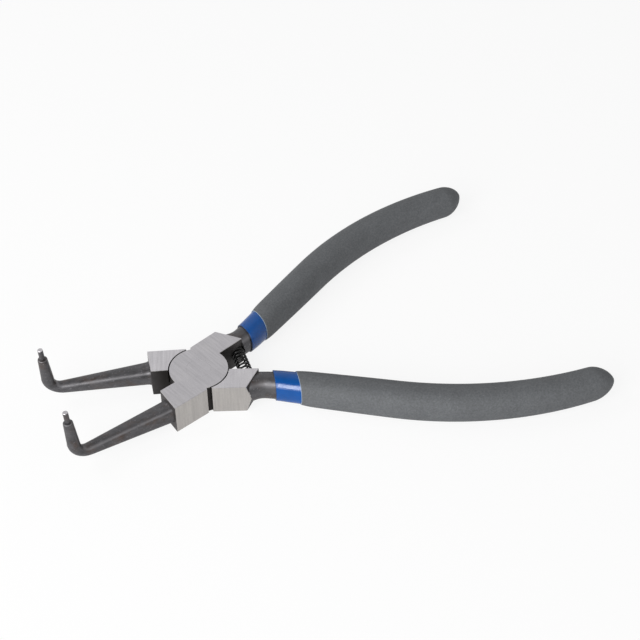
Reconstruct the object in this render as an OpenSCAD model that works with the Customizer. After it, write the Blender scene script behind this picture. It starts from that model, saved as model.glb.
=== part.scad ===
// Bent-tip circlip pliers for internal rings: two crossing levers on a riveted lap joint.
// Millimetres. The origin is on the pivot axis at the joint's underside, +X runs to the
// handles, +Z up. The tool lies open, at the free length of its spring.

/* [Joint] */
// Diameter of the round boss on each lever
joint_d = 20; // [16:0.5:24]
// Thickness of the joint, both bosses together
joint_t = 11.2; // [9:0.2:14]
// Gap between the flat faces of the two bosses
lap_gap = 0.1; // [0.04:0.02:0.3]
// Gap between a boss and the hollow shoulders that run round it
shoulder_gap = 0.35; // [0.2:0.05:0.6]
// Width of the slot that stops the levers opening too far
stop_slot_w = 1.6; // [1:0.1:2.4]

/* [Pivot rivet] */
// Diameter of the rivet shank
rivet_d = 6; // [4:0.2:8]
// Diameter of the countersunk rivet heads
rivet_head_d = 8.4; // [6.4:0.2:11]
// Depth of the countersunk rivet heads
rivet_head_t = 1.2; // [0.8:0.1:2]
// Running clearance round the rivet in the lower lever
rivet_clear = 0.05; // [0.02:0.01:0.1]

/* [Jaw blocks] */
// Angle of a jaw block's inner face to the tool's centre line
jaw_angle = 18; // [14:0.5:24]
// Distance from the pivot to the front inner corner of a jaw block
jaw_block_l = 16.2; // [14:0.2:20]

/* [Arms and tips] */
// Angle of an arm to the tool's centre line
arm_angle = 10.8; // [6:0.2:16]
// Length of an arm, from its jaw block to the axis of its tip
arm_l = 33.2; // [26:0.2:44]
// Width across an arm where it leaves its jaw block
arm_root_w = 6.8; // [6:0.1:8]
// Width across an arm where its bend begins
arm_end_w = 4.3; // [4:0.1:5.4]
// Radius of the bend, on the arm's axis
bend_r = 4.2; // [3:0.1:6]
// Angle through which a tip turns up from its arm
bend_angle = 85; // [75:1:90]
// Angle by which a tip leans towards the other tip
tip_lean = 3; // [0:0.5:5]
// Height of the tip's shoulder above the arm's axis
tip_h = 14.8; // [10:0.2:20]
// Diameter of the tip at its shoulder
shoulder_d = 3.3; // [2.6:0.1:4]
// Chamfer round the shoulder
shoulder_chamfer = 0.3; // [0.1:0.05:0.5]
// Diameter of the pin that enters the ring's eye
pin_d = 1.8; // [1.2:0.1:2.4]
// Length of the pin
pin_l = 4.4; // [3:0.2:6]

/* [Handle blocks] */
// Angle of a handle block to the tool's centre line
neck_angle = 21.5; // [18:0.5:26]
// Distance of a handle block's inner face from the pivot
neck_in = 0.6; // [0:0.1:1.5]
// Width of a handle block between its side faces
neck_w = 9.2; // [8:0.1:11]
// Distance from the pivot to the rear inner corner of a handle block
neck_l = 20.4; // [18:0.2:24]
// Slant of a handle block's rear edge
neck_rake = 25; // [10:1:30]
// Length of the ridge on a handle block's rear end, along its outer face at half height
neck_ridge = 1.7; // [0.4:0.1:2.4]

/* [Handles] */
// Distance from the pivot at which a tang starts, along its handle block
tang_from = 14.4; // [13:0.1:16]
// Distance of the tang's axis inside the middle of its handle block
tang_inset = 1.5; // [0.8:0.1:2]
// Direction of the tang where it starts, to the tool's centre line
tang_angle = 17.2; // [14:0.2:22]
// Length of the tang that bends outwards
bend_out_l = 14.6; // [10:0.2:20]
// Angle through which the tang bends outwards
bend_out_turn = 15.6; // [8:0.2:20]
// Length of the straight run after that bend
run_l = 37.8; // [25:0.2:50]
// Length of the handle that bows back in
bow_in_l = 76.4; // [60:0.2:100]
// Angle through which the handle bows back in
bow_in_turn = 34.4; // [20:0.2:45]
// Width across the handle where its tang starts
handle_front_w = 9.7; // [8.6:0.1:11]
// Width across the handle at its middle
handle_mid_w = 11.9; // [10:0.1:14]
// Width across the handle at its end
handle_end_w = 9.6; // [8:0.1:13]
// Thickness of the handle where its tang starts
handle_front_t = 10.5; // [9.4:0.1:11]
// Thickness of the handle at its middle
handle_mid_t = 12.2; // [10.6:0.1:14]
// Thickness of the handle at its end
handle_end_t = 12.2; // [9:0.1:13]
// Length of the rounding at the handle's end
end_round = 8; // [5:0.2:10]
// Swelling of the tang on its outer side where it grows out of its handle block
tang_flare_w = 6; // [5:0.2:7]
// Swelling of the tang upwards and downwards there
tang_flare_t = 0.8; // [0.4:0.1:0.8]
// Length of that swelling
tang_flare_l = 8; // [6:0.5:10]

/* [Dipped layers] */
// Bare length of a tang, from where it starts to the edge of its sleeve
sleeve_from = 11.1; // [10.8:0.1:13]
// Distance from where the tang starts to the edge of its grip
grip_from = 19.4; // [15:0.2:24]
// Slant of the edges where the layers start, towards the tool's centre line
dip_slant = 22; // [0:0.5:24]
// Wall of the blue sleeve
sleeve_wall = 0.45; // [0.35:0.05:0.8]
// Wall of the grey grip
grip_wall = 0.45; // [0.35:0.05:0.8]
// Thickness of each layer at the handle's end
end_wall = 1.2; // [0.6:0.1:2]
// Gap between one layer and the next
layer_gap = 0.05; // [0.03:0.01:0.1]

/* [Opening spring] */
// Distance of the spring from the pivot
spring_x = 16.8; // [16:0.1:17.2]
// Outside diameter of the spring
spring_od = 4; // [3.6:0.1:5]
// Diameter of the spring wire
wire_d = 0.75; // [0.5:0.05:0.8]
// Turns between the closed ends
spring_turns = 10; // [6:1:10]
// Depth of the socket that holds each end of the spring
socket_depth = 2.6; // [1.6:0.1:3.2]
// Gap round the spring in its socket
socket_clear = 0.3; // [0.2:0.05:0.5]

/* [Hidden] */

black_steel = "#3a3836";
ground_steel = "#b9b7b9";
spring_black = "#1c1b1b";
sleeve_blue = "#1d56a8";
grip_grey = "#66686b";

$fn = 64;
section_sides = 20;
skin = 1;

joint_r = joint_d / 2;
mid_z = joint_t / 2;
hollow_r = joint_r + shoulder_gap;
press_gap = 0.01;

// Unit vectors in plan for the side of the tool where y is positive
function heading(a) = [cos(a), sin(a)];
function left_of(a) = [-sin(a), cos(a)];
function cross2(p, q) = p[0] * q[1] - p[1] * q[0];

// Where the line through p along u meets the line through q along v
function meet(p, u, q, v) = p + u * cross2(q - p, v) / cross2(u, v);

// Jaw block: the inner face points at the pivot, the outer face is a tangent of the boss
// and the front is square to the arm
jaw_dir = heading(180 - jaw_angle);
front_dir = heading(90 - arm_angle);
jaw_outer_at = -left_of(180 - jaw_angle) * joint_r;
jaw_in_front = jaw_dir * jaw_block_l;
jaw_out_front = meet(jaw_in_front, front_dir, jaw_outer_at, jaw_dir);
jaw_edge = [-stop_slot_w / 2, 0];
jaw_in_rear = meet(jaw_edge, [0, 1], [0, 0], jaw_dir);
jaw_out_rear = meet(jaw_edge, [0, 1], jaw_outer_at, jaw_dir);
jaw_outline = [jaw_in_rear, jaw_out_rear, jaw_out_front, jaw_in_front];
arm_from = (jaw_in_front + jaw_out_front) / 2;

// Handle block: two parallel side faces and a slanted rear end that rises to a ridge
neck_dir = heading(neck_angle);
neck_left = left_of(neck_angle);
neck_in_at = neck_left * neck_in;
neck_out_at = neck_left * (neck_in + neck_w);
neck_edge = [stop_slot_w / 2, 0];
neck_in_front = meet(neck_edge, [0, 1], neck_in_at, neck_dir);
neck_out_front = meet(neck_edge, [0, 1], neck_out_at, neck_dir);
neck_in_rear = neck_in_at + neck_dir * neck_l;
neck_out_rear = neck_out_at + neck_dir * (neck_l - neck_w * tan(neck_rake));
neck_outline = [neck_in_front, neck_out_front, neck_out_rear, neck_in_rear];
neck_ridge_at = neck_out_rear + neck_dir * neck_ridge;

// Handle axis: a bend outwards, a straight run and a long bow back in, at the height that
// lays the grips level with the joint's underside
handle_z = max(handle_front_t, handle_mid_t, handle_end_t) / 2;
bow_from = bend_out_l + run_l;
handle_l = bow_from + bow_in_l;
crest_angle = tang_angle + bend_out_turn;
bend_out_r = bend_out_l / (bend_out_turn * PI / 180);
bow_in_r = bow_in_l / (bow_in_turn * PI / 180);
tang_at = neck_dir * tang_from + neck_left * (neck_in + neck_w / 2 - tang_inset);
run_at = tang_at + bend_out_r * (left_of(tang_angle) - left_of(crest_angle));
bow_at = run_at + run_l * heading(crest_angle);

function axis_angle(s) =
    s < bend_out_l ? tang_angle + bend_out_turn * s / bend_out_l
    : s < bow_from ? crest_angle
    : crest_angle - bow_in_turn * (s - bow_from) / bow_in_l;
function axis_at(s) =
    s < bend_out_l ? tang_at + bend_out_r * (left_of(tang_angle) - left_of(axis_angle(s)))
    : s < bow_from ? run_at + (s - bend_out_l) * heading(crest_angle)
    : bow_at + bow_in_r * (left_of(axis_angle(s)) - left_of(crest_angle));

// A size that swells from the front to the middle of the handle and falls to its end
function swell(front, mid, end, t) =
    t < 0.5 ? mid - (mid - front) * pow(1 - 2 * t, 2) : mid - (mid - end) * pow(2 * t - 1, 2);
function grip_half(s) =
    [swell(handle_front_w, handle_mid_w, handle_end_w, s / handle_l),
     swell(handle_front_t, handle_mid_t, handle_end_t, s / handle_l)] / 2;

sleeve_in = grip_wall + layer_gap;
tang_in = sleeve_in + sleeve_wall + layer_gap;
tang_end = handle_l - 2 * (end_wall + layer_gap);

// Point k of a rounded section with half sizes h; a higher power makes it squarer
function section_point(h, power, k, sides) =
    let (c = cos(360 * k / sides), s = sin(360 * k / sides))
    [h[0] * sign(c) * pow(abs(c), 2 / power), h[1] * sign(s) * pow(abs(s), 2 / power)];

// Section of the handle at distance s along its axis, moved out sideways if asked. Sections are
// square to the axis at the handle block, turn parallel to the layers' slanted edges and turn
// square again under the grip.
grip_power = 2.4;
slant_fade_l = 30;
function slant(s) =
    tan(dip_slant) * min(1, s / sleeve_from) * max(0, min(1, 1 - (s - grip_from) / slant_fade_l));
function handle_ring(s, half, out = 0) =
    let (c = axis_at(s), a = axis_angle(s), across = left_of(a) + slant(s) * heading(a))
    [for (k = [0 : section_sides - 1])
        let (p = section_point(half, grip_power, k, section_sides), q = c + across * (p[0] + out))
        [q[0], q[1], handle_z + p[1]]];

// Evenly spaced distances; every layer has its sections at the same ones under the grip
function spaced(from, to, count) = [for (i = [0 : count]) from + (to - from) * i / count];
grip_steps = 12;
grip_stations = spaced(grip_from, tang_end - end_round, grip_steps);
sleeve_steps = 2;
function without_first(v) = [for (i = [1 : len(v) - 1]) v[i]];
all_stations = concat(spaced(sleeve_from, grip_from, sleeve_steps), without_first(grip_stations));
end_steps = 5;
end_angle = 80;
end_power = 2.1;
function end_rings(to, inset) =
    [for (i = [1 : end_steps])
        let (a = end_angle * i / end_steps, s = to - end_round + end_round * pow(sin(a), 2 / end_power))
        handle_ring(s, (grip_half(to - end_round) - [inset, inset]) * pow(cos(a), 2 / end_power))];

// Surface of one layer through its stations and round its closed end
function layer_rings(stations, to, inset) =
    concat([for (s = concat(stations, [to - end_round])) handle_ring(s, grip_half(s) - [inset, inset])],
           end_rings(to, inset));
function reversed(v) = [for (i = [len(v) - 1 : -1 : 0]) v[i]];

// Solid skin through a list of rings, closed flat at both ends
module loft(rings) {
    n = len(rings[0]);
    last = (len(rings) - 1) * n;
    points = [for (ring = rings) for (p = ring) p];
    sides = [for (i = [0 : len(rings) - 2]) for (k = [0 : n - 1])
                let (a = i * n + k, b = i * n + (k + 1) % n)
                each [[a, b + n, b], [a, a + n, b + n]]];
    front = [for (k = [0 : n - 1]) k];
    back = [for (k = [n - 1 : -1 : 0]) last + k];
    polyhedron(points, concat([front], sides, [back]));
}

// Tang of a lever, flared on its outer side into its handle block
function flare(s) = pow(1 - s / tang_flare_l, 2);
function flare_ring(s) =
    let (out = tang_flare_w * flare(s) / 2)
    handle_ring(s, grip_half(s) - [tang_in, tang_in] + [out, tang_flare_t * flare(s)], out);
flare_steps = 7;
module tang() {
    difference() {
        loft(concat([for (s = spaced(0, tang_flare_l, flare_steps)) flare_ring(s)],
                    layer_rings(all_stations, tang_end, tang_in)));
        neck_trim(neck_in + neck_w, neck_l + tang_flare_l);
        neck_trim(neck_in - joint_d, neck_l);
    }
}

// Block that trims the tang back to a side face of the handle block
module neck_trim(from, length) {
    rotate(neck_angle)
        translate([0, from, -joint_t])
            cube([length, joint_d, 3 * joint_t]);
}

// Arm, bend and tapered tip as one skin, in a plane where x runs out along the arm and y is up.
// The arm is square with round corners at its root and round at its bend.
root_power = 3.6;
round_power = 2;
arm_sink = 2;
root_fillet = 0.8;
root_fillet_l = 1.6;
bend_from = arm_l - bend_r * tan(bend_angle / 2);
tip_from = [bend_from + bend_r * sin(bend_angle), bend_r * (1 - cos(bend_angle))];
tip_dir = heading(bend_angle);
tip_l = (tip_h - tip_from[1]) / tip_dir[1];
fillet_steps = 3;
arm_steps = 5;
bend_steps = 6;

function arm_ring(at, turn, w, power) =
    [for (k = [0 : section_sides - 1])
        let (p = section_point([w, w] / 2, power, k, section_sides), up = left_of(turn))
        [at[0] + up[0] * p[1], p[0], at[1] + up[1] * p[1]]];
function root_swell(u) = u < root_fillet_l ? root_fillet * pow(1 - u / root_fillet_l, 2) : 0;
function arm_w(u) = arm_root_w + (arm_end_w - arm_root_w) * u / bend_from + root_swell(u);
function arm_power(u) = root_power + (round_power - root_power) * pow(u / bend_from, 2);
arm_rings = concat(
    [arm_ring([-arm_sink, 0], 0, arm_w(0), root_power)],
    [for (u = spaced(0, root_fillet_l, fillet_steps)) arm_ring([u, 0], 0, arm_w(u), root_power)],
    [for (i = [1 : arm_steps])
        let (u = root_fillet_l + (bend_from - root_fillet_l) * i / arm_steps)
        arm_ring([u, 0], 0, arm_w(u), arm_power(u))],
    [for (i = [1 : bend_steps])
        let (a = bend_angle * i / bend_steps)
        arm_ring([bend_from + bend_r * sin(a), bend_r * (1 - cos(a))], a, arm_end_w, round_power)],
    [arm_ring(tip_from + tip_dir * (tip_l - shoulder_chamfer), bend_angle, shoulder_d, round_power)],
    [arm_ring(tip_from + tip_dir * tip_l, bend_angle, shoulder_d - 2 * shoulder_chamfer,
              round_power)]);

module arm() {
    translate([arm_from[0], arm_from[1], mid_z])
        rotate(180 - arm_angle)
            rotate([-tip_lean, 0, 0]) {
                loft(arm_rings);
                pin();
            }
}

// Pin on the end of a tip, with a small lead at its end
pin_lead = 0.15;
module pin() {
    base = tip_from + tip_dir * (tip_l - skin);
    translate([base[0], 0, base[1]])
        rotate([0, 90 - bend_angle, 0]) {
            cylinder(d = pin_d, h = pin_l + skin - pin_lead);
            translate([0, 0, pin_l + skin - pin_lead])
                cylinder(d1 = pin_d, d2 = pin_d - 2 * pin_lead, h = pin_lead);
        }
}

// Socket in a handle block for one end of the spring
face_y = meet([spring_x, 0], [0, 1], neck_in_at, neck_dir)[1];
socket_end = face_y + socket_depth;
module spring_socket() {
    translate([spring_x, 0, mid_z])
        rotate([-90, 0, 0])
            cylinder(d = spring_od + 2 * socket_clear, h = socket_end);
}

// Handle block with the ridge on its rear end
module neck_block() {
    points = concat([for (z = [0, joint_t]) for (p = neck_outline) [p[0], p[1], z]],
                    [[neck_ridge_at[0], neck_ridge_at[1], mid_z]]);
    polyhedron(points, [[3, 2, 1, 0], [4, 5, 6, 7], [0, 1, 5, 4], [3, 0, 4, 7],
                        [1, 2, 8, 6, 5], [2, 3, 8], [3, 7, 8], [7, 6, 8]]);
}

// One lever with its handle on the side where y is positive. The boss takes the half of the
// joint above or below the middle, and the blocks are hollowed round the other lever's boss.
module lever(upper) {
    own_z = upper ? mid_z + lap_gap / 2 : 0;
    other_z = upper ? -skin : mid_z - lap_gap / 2;
    half_t = mid_z - lap_gap / 2;
    difference() {
        union() {
            difference() {
                union() {
                    neck_block();
                    mirror([0, 1, 0]) linear_extrude(joint_t) polygon(jaw_outline);
                }
                translate([0, 0, other_z])
                    cylinder(r = hollow_r, h = half_t + lap_gap + skin);
            }
            translate([0, 0, own_z]) cylinder(r = joint_r, h = half_t);
            tang();
            mirror([0, 1, 0]) arm();
        }
        rivet_shape(upper ? press_gap : rivet_clear, skin);
        spring_socket();
    }
}

// Rivet with a countersunk head at each face. Its hole is wider by a clearance and runs past
// the faces.
module rivet_shape(clear, past) {
    shank_r = rivet_d / 2 + clear;
    head_r = rivet_head_d / 2 + clear;
    rotate_extrude()
        polygon([[0, -past], [head_r, -past], [head_r, 0], [shank_r, rivet_head_t],
                 [shank_r, joint_t - rivet_head_t], [head_r, joint_t], [head_r, joint_t + past],
                 [0, joint_t + past]]);
}

module upper_lever() {
    color(black_steel) lever(true);
}

module lower_lever() {
    color(black_steel) mirror([0, 1, 0]) lever(false);
}

module pivot_rivet() {
    color(ground_steel) rivet_shape(0, 0);
}

// Closed cup between an outer and an inner skin, with its front edge rounded over
edge_round = 0.2;
module dipped_layer(stations, to, inset, wall) {
    from = stations[0];
    rounded = concat([from + edge_round], without_first(stations));
    loft(concat(reversed(layer_rings(stations, to - end_wall, inset + wall)),
                [handle_ring(from, grip_half(from) - [1, 1] * (inset + edge_round))],
                layer_rings(rounded, to, inset)));
}

module sleeve() {
    dipped_layer(all_stations, handle_l - end_wall - layer_gap, sleeve_in, sleeve_wall);
}

module grip() {
    dipped_layer(grip_stations, handle_l, 0, grip_wall);
}

module upper_sleeve() {
    color(sleeve_blue) sleeve();
}

module lower_sleeve() {
    color(sleeve_blue) mirror([0, 1, 0]) sleeve();
}

module upper_grip() {
    color(grip_grey) grip();
}

module lower_grip() {
    color(grip_grey) mirror([0, 1, 0]) grip();
}

// Coil spring: the end turns lie close together, the turns between them are open
wire_sides = 6;
turn_steps = 16;
seat_gap = 0.1;
spring_l = 2 * (socket_end - seat_gap) - wire_d;
coil_r = (spring_od - wire_d) / 2;
close_gap = 0.04;
close_pitch = wire_d + close_gap;
open_pitch = (spring_l - 2 * close_pitch) / spring_turns;
function wire_y(turn) =
    -spring_l / 2 + (turn < 1 ? close_pitch * turn
                   : turn < 1 + spring_turns ? close_pitch + open_pitch * (turn - 1)
                   : close_pitch + open_pitch * spring_turns + close_pitch * (turn - 1 - spring_turns));
spring_steps = turn_steps * (spring_turns + 2);

module opening_spring() {
    color(spring_black)
        translate([spring_x, 0, mid_z])
            loft([for (i = [0 : spring_steps])
                let (turn = i / turn_steps, a = 360 * turn)
                [for (k = [0 : wire_sides - 1])
                    let (w = 360 * k / wire_sides, r = coil_r + wire_d / 2 * cos(w))
                    [r * cos(a), wire_y(turn) + wire_d / 2 * sin(w), r * sin(a)]]]);
}

upper_lever();
lower_lever();
pivot_rivet();
opening_spring();
upper_sleeve();
lower_sleeve();
upper_grip();
lower_grip();
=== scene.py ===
import math

import bmesh
import bpy
from bpy.props import FloatProperty, FloatVectorProperty, IntProperty, PointerProperty
from bpy.types import Operator, Panel, PropertyGroup
from mathutils import Matrix, Vector


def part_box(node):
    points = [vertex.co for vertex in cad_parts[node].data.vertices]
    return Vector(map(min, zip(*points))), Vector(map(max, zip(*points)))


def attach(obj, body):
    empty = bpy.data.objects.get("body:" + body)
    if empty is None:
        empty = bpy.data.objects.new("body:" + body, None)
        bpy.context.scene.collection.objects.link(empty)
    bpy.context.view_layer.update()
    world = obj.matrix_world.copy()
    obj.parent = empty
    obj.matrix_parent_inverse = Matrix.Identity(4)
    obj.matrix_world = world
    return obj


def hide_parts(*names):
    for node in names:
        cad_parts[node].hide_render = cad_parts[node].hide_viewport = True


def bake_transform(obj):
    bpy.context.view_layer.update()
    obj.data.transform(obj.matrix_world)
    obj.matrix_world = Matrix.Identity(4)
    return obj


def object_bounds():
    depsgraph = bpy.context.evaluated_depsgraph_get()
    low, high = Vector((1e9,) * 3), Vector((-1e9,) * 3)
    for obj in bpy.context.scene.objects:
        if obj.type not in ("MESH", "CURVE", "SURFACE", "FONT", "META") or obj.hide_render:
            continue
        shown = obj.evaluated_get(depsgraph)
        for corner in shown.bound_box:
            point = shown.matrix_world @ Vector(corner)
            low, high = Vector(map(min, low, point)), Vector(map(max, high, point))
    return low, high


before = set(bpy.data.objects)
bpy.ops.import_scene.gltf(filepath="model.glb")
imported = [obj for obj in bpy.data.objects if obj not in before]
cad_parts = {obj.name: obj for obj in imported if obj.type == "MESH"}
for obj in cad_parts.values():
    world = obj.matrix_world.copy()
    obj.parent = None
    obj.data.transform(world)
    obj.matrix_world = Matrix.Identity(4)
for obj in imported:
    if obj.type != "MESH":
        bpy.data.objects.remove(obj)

bl_info = {
    "name": "Bent-tip circlip pliers",
    "version": (1, 0, 0),
    "blender": (4, 5, 0),
    "location": "View3D > Sidebar > Pliers",
    "description": "Builds ground and blackened circlip pliers with dipped grips on a fixed frame",
    "category": "Object",
}

MM = 0.001
CAD_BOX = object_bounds()
RIVET_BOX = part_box("pivot_rivet")
SPRING_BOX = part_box("opening_spring")
JOINT_T = RIVET_BOX[1].z - RIVET_BOX[0].z
HEAD_R = (RIVET_BOX[1].x - RIVET_BOX[0].x) / 2
MID_Z = JOINT_T / 2
UPPER, LOWER = "upper_half", "lower_half"


def length(name, description, size_mm):
    """A size property in metres, given in millimetres."""
    return FloatProperty(name=name, description=description, default=size_mm * MM, min=0, unit="LENGTH",
                         precision=5)


def turn(name, description, degrees):
    """An angle property, given in degrees."""
    return FloatProperty(name=name, description=description, default=math.radians(degrees),
                         subtype="ANGLE")


def share(name, description, value):
    """A plain number from 0 to 1."""
    return FloatProperty(name=name, description=description, default=value, min=0, max=1,
                         subtype="FACTOR")


def colour(name, description, rgb):
    """A colour property in linear values."""
    return FloatVectorProperty(name=name, description=description, default=rgb, size=3, min=0, max=1,
                               subtype="COLOR")


class JointSizes(PropertyGroup):
    """The riveted lap joint."""

    boss_d: length("Boss", "Diameter of the round boss on each lever", 20)
    lap_gap: length("Lap gap", "Gap between the flat faces of the bosses", 0.1)
    shoulder_gap: length("Shoulder gap", "Gap between a boss and the hollow shoulders round it", 0.35)
    stop_slot_w: length("Stop slot", "Width of the slot that stops the levers opening too far", 1.6)
    rivet_d: length("Rivet shank", "Diameter of the rivet shank", 6)
    rivet_head_t: length("Rivet head", "Depth of the countersunk rivet heads", 1.2)
    rivet_line: length("Rivet line", "Hairline between the rivet and the levers", 0.015)
    edge_break: length("Edge break", "Width of the broken edges of the blocks", 0.22)


class JawSizes(PropertyGroup):
    """Jaw blocks, arms and tips."""

    block_angle: turn("Block angle", "Angle of a jaw block's inner face to the centre line", 18)
    block_l: length("Block length", "Distance from the pivot to a jaw block's front inner corner", 16.2)
    arm_angle: turn("Arm angle", "Angle of an arm to the centre line", 10.8)
    arm_l: length("Arm length", "Length of an arm from its block to its tip's axis", 34.1)
    root_w: length("Arm root", "Width across an arm where it leaves its block", 6.8)
    end_w: length("Arm end", "Width across an arm where its bend begins", 4.3)
    bend_r: length("Bend radius", "Radius of the bend on the arm's axis", 4.5)
    bend_angle: turn("Bend", "Angle through which a tip turns up from its arm", 87.5)
    bend_ease: length("Bend easing", "How much the radius outside the bend exceeds a plain bend's", 0.9)
    tip_lean: turn("Tip lean", "Angle by which a tip leans towards the other tip", 3)
    tip_h: length("Tip height", "Height of the tip's shoulder above the arm's axis", 14.8)
    shoulder_d: length("Shoulder", "Diameter of the tip at its shoulder", 3.3)
    shoulder_round: length("Shoulder rounding", "Rounding of the shoulder", 0.4)
    pin_d: length("Pin", "Diameter of the pin that enters the ring's eye", 1.8)
    pin_l: length("Pin length", "Length of the pin", 4.4)
    pin_lead: length("Pin lead", "Small lead round the end of the pin", 0.15)


class HandleSizes(PropertyGroup):
    """Handle blocks, tangs and the run of the handles."""

    block_angle: turn("Block angle", "Angle of a handle block to the centre line", 21.5)
    block_in: length("Block inset", "Distance of a handle block's inner face from the pivot", 0.6)
    block_w: length("Block width", "Width of a handle block between its side faces", 9.2)
    block_l: length("Block length", "Distance from the pivot to a block's rear inner corner", 20.4)
    block_rake: turn("Block rake", "Slant of a handle block's rear edge", 25)
    block_ridge: length("Block ridge", "Length of the ridge on a handle block's rear end", 1.7)
    tang_from: length("Tang start", "Distance from the pivot at which a tang starts", 14.4)
    tang_inset: length("Tang inset", "Distance of the tang's axis inside the middle of its block", 1.5)
    tang_angle: turn("Tang angle", "Direction of the tang where it starts", 17.2)
    bend_l: length("Bend length", "Length of the tang that bends outwards", 14.6)
    bend_turn: turn("Bend", "Angle through which the tang bends outwards", 15.6)
    run_l: length("Run", "Length of the straight run after the bend", 37.8)
    bow_l: length("Bow", "Length of the handle that bows back in", 76.4)
    bow_turn: turn("Bow angle", "Angle through which the handle bows back in", 34.4)
    front_w: length("Front width", "Width across the handle where its tang starts", 9.7)
    mid_w: length("Middle width", "Width across the handle at its middle", 11.9)
    end_w: length("End width", "Width across the handle at its end", 9.6)
    front_t: length("Front thickness", "Thickness of the handle where its tang starts", 10.5)
    mid_t: length("Middle thickness", "Thickness of the handle at its middle", 12.2)
    end_t: length("End thickness", "Thickness of the handle at its end", 12.2)
    end_round: length("End rounding", "Length of the rounding at the handle's end", 8)
    flare_w: length("Flare width", "Swelling of the tang on its outer side at its block", 4.6)
    flare_t: length("Flare thickness", "Swelling of the tang up and down at its block", 0.8)
    flare_l: length("Flare length", "Length of that swelling", 8)


class LayerSizes(PropertyGroup):
    """The dipped sleeves and grips."""

    sleeve_from: length("Sleeve edge", "Distance from the tang's start to its sleeve's edge", 11.1)
    grip_from: length("Grip edge", "Distance from the tang's start to its grip's edge", 19.4)
    sleeve_slant: turn("Sleeve slant", "Slant of the sleeve's front edge", 15)
    grip_slant: turn("Grip slant", "Slant of the grip's front edge", 22)
    upper_early: length("Deeper dip", "How much further up its tang the upper handle was dipped", 0.9)
    upper_drip: length("Longer drip", "How much longer the upper handle's end is", 0.7)
    sleeve_wall: length("Sleeve wall", "Wall of the blue sleeve", 0.45)
    grip_wall: length("Grip wall", "Wall of the grey grip", 0.45)
    end_wall: length("End wall", "Thickness of each layer at the handle's end", 1.2)
    layer_gap: length("Layer gap", "Gap between one layer and the next", 0.05)
    lip_round: length("Lip rounding", "Rounding of a layer's front lip", 0.16)
    feather: length("Feather", "How much thinner a grip is at its front lip", 0.26)
    feather_l: length("Feather length", "Length over which a grip reaches its full wall", 5)
    end_shift: length("End shift", "How far the rounded end leans to its outer side", 1.3)


class SpringSizes(PropertyGroup):
    """The opening spring."""

    wire_d: length("Wire", "Diameter of the spring wire", 0.7)
    coil_d: length("Coil", "Outside diameter of the spring", 4.9)
    lean: length("Lean", "How much nearer the pivot the lower end sits than the upper end", 1.3)
    socket_clear: length("Socket clearance", "Gap round the spring in its sockets", 0.3)
    turns: IntProperty(name="Open turns", description="Turns between the closed ends", default=11, min=3)
    close_gap: length("Closed gap", "Gap between the turns of a closed end", 0.04)
    reach: length("Blend reach", "How far from the centre line the spring follows a lever wholly", 12)


class Finishes(PropertyGroup):
    """Colours and gloss of the finishes."""

    # Ground steel with painted light: the top colour is lighter and cooler, standing for the sky above;
    # the side colour is darker and warmer, standing for the floor's bounce
    ground_top: colour("Ground top", "Ground steel seen from above", (0.618, 0.601, 0.622))
    ground_side: colour("Ground side", "Ground steel on the side faces", (0.538, 0.513, 0.490))
    # Painted highlight: the lower lever's ground top is painted lighter than the upper's by this factor
    lower_shine: FloatProperty(name="Lower shine", default=1.15, min=1, max=2,
                               description="How much lighter the lower lever's top is ground")
    grind_turn: turn("Grinding angle", "Turn of a lever's grinding lines from straight across", 20)
    ground_rough: share("Ground roughness", "Roughness of the ground faces", 0.34)
    oxide: colour("Black oxide", "Blackened forged steel", (0.0685, 0.0668, 0.0705))
    # Painted highlight: this lighter colour stands for a lamp's reflection on the upper ridges of the
    # arms and tangs
    ridge: colour("Worn ridge", "Blackened steel rubbed on its upper ridges", (0.206, 0.201, 0.210))
    oxide_rough: share("Oxide roughness", "Roughness of the blackened steel", 0.45)
    temper: colour("Temper tint", "Brown tint in patches of the blackened steel", (0.085, 0.055, 0.040))
    # Dull scale finish, painted darker than the oxide as painted shade on the blocks' inner, front and
    # slot faces
    scale: colour("Black scale", "Dull scale on the blocks' inner faces", (0.034, 0.031, 0.031))
    # Painted shade: near-black colour painted round the pivot, over the stop slots and by the spring
    oil: colour("Joint oil", "Black oil round the joint", (0.008, 0.006, 0.005))
    wire: colour("Spring wire", "Black spring wire", (0.010, 0.010, 0.010))
    blue: colour("Blue sleeve", "Glossy dipped vinyl", (0.0, 0.072, 0.30))
    blue_rough: share("Sleeve roughness", "Roughness of the sleeve", 0.16)
    grey: colour("Grey grip", "Matte grained vinyl", (0.124, 0.130, 0.137))
    grey_rough: share("Grip roughness", "Roughness of the grip", 0.72)
    # Painted shade: the sleeve's front lip is painted dark navy for the shade at its edge
    sleeve_rim: colour("Sleeve rim", "Dark front lip of the sleeve", (0.0, 0.015, 0.06))
    # Partly the thin vinyl's paler edge and partly a painted highlight on the grip's front lip
    grip_rim: colour("Grip rim", "Thin front lip of the grip", (0.20, 0.25, 0.31))


class StageSizes(PropertyGroup):
    """Camera, lamps and floor."""

    azimuth: turn("Azimuth", "Camera's turn round the object, 0 looks along +Y", -23.5)
    elevation: turn("Elevation", "Camera's height angle", 42.18)
    distance: length("Distance", "Camera's distance from its target", 463.25)
    target: FloatVectorProperty(name="Target", description="Point at the picture's centre", size=3,
                                default=(47.49 * MM, 5.91 * MM, 11.2 * MM), subtype="TRANSLATION")
    lens: FloatProperty(name="Lens", description="Focal length on a 36 mm sensor, in millimetres",
                        default=73.79, min=1)
    floor_w: length("Floor", "Side of the floor", 20000)
    sky: share("Sky", "Strength of the light from all round", 0.42)
    ceiling: share("Ceiling", "Brightness of the room above, against the walls", 0.35)


SIZES = {"joint": JointSizes, "jaws": JawSizes, "handles": HandleSizes, "layers": LayerSizes,
         "spring": SpringSizes, "finish": Finishes, "stage": StageSizes}


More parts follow.
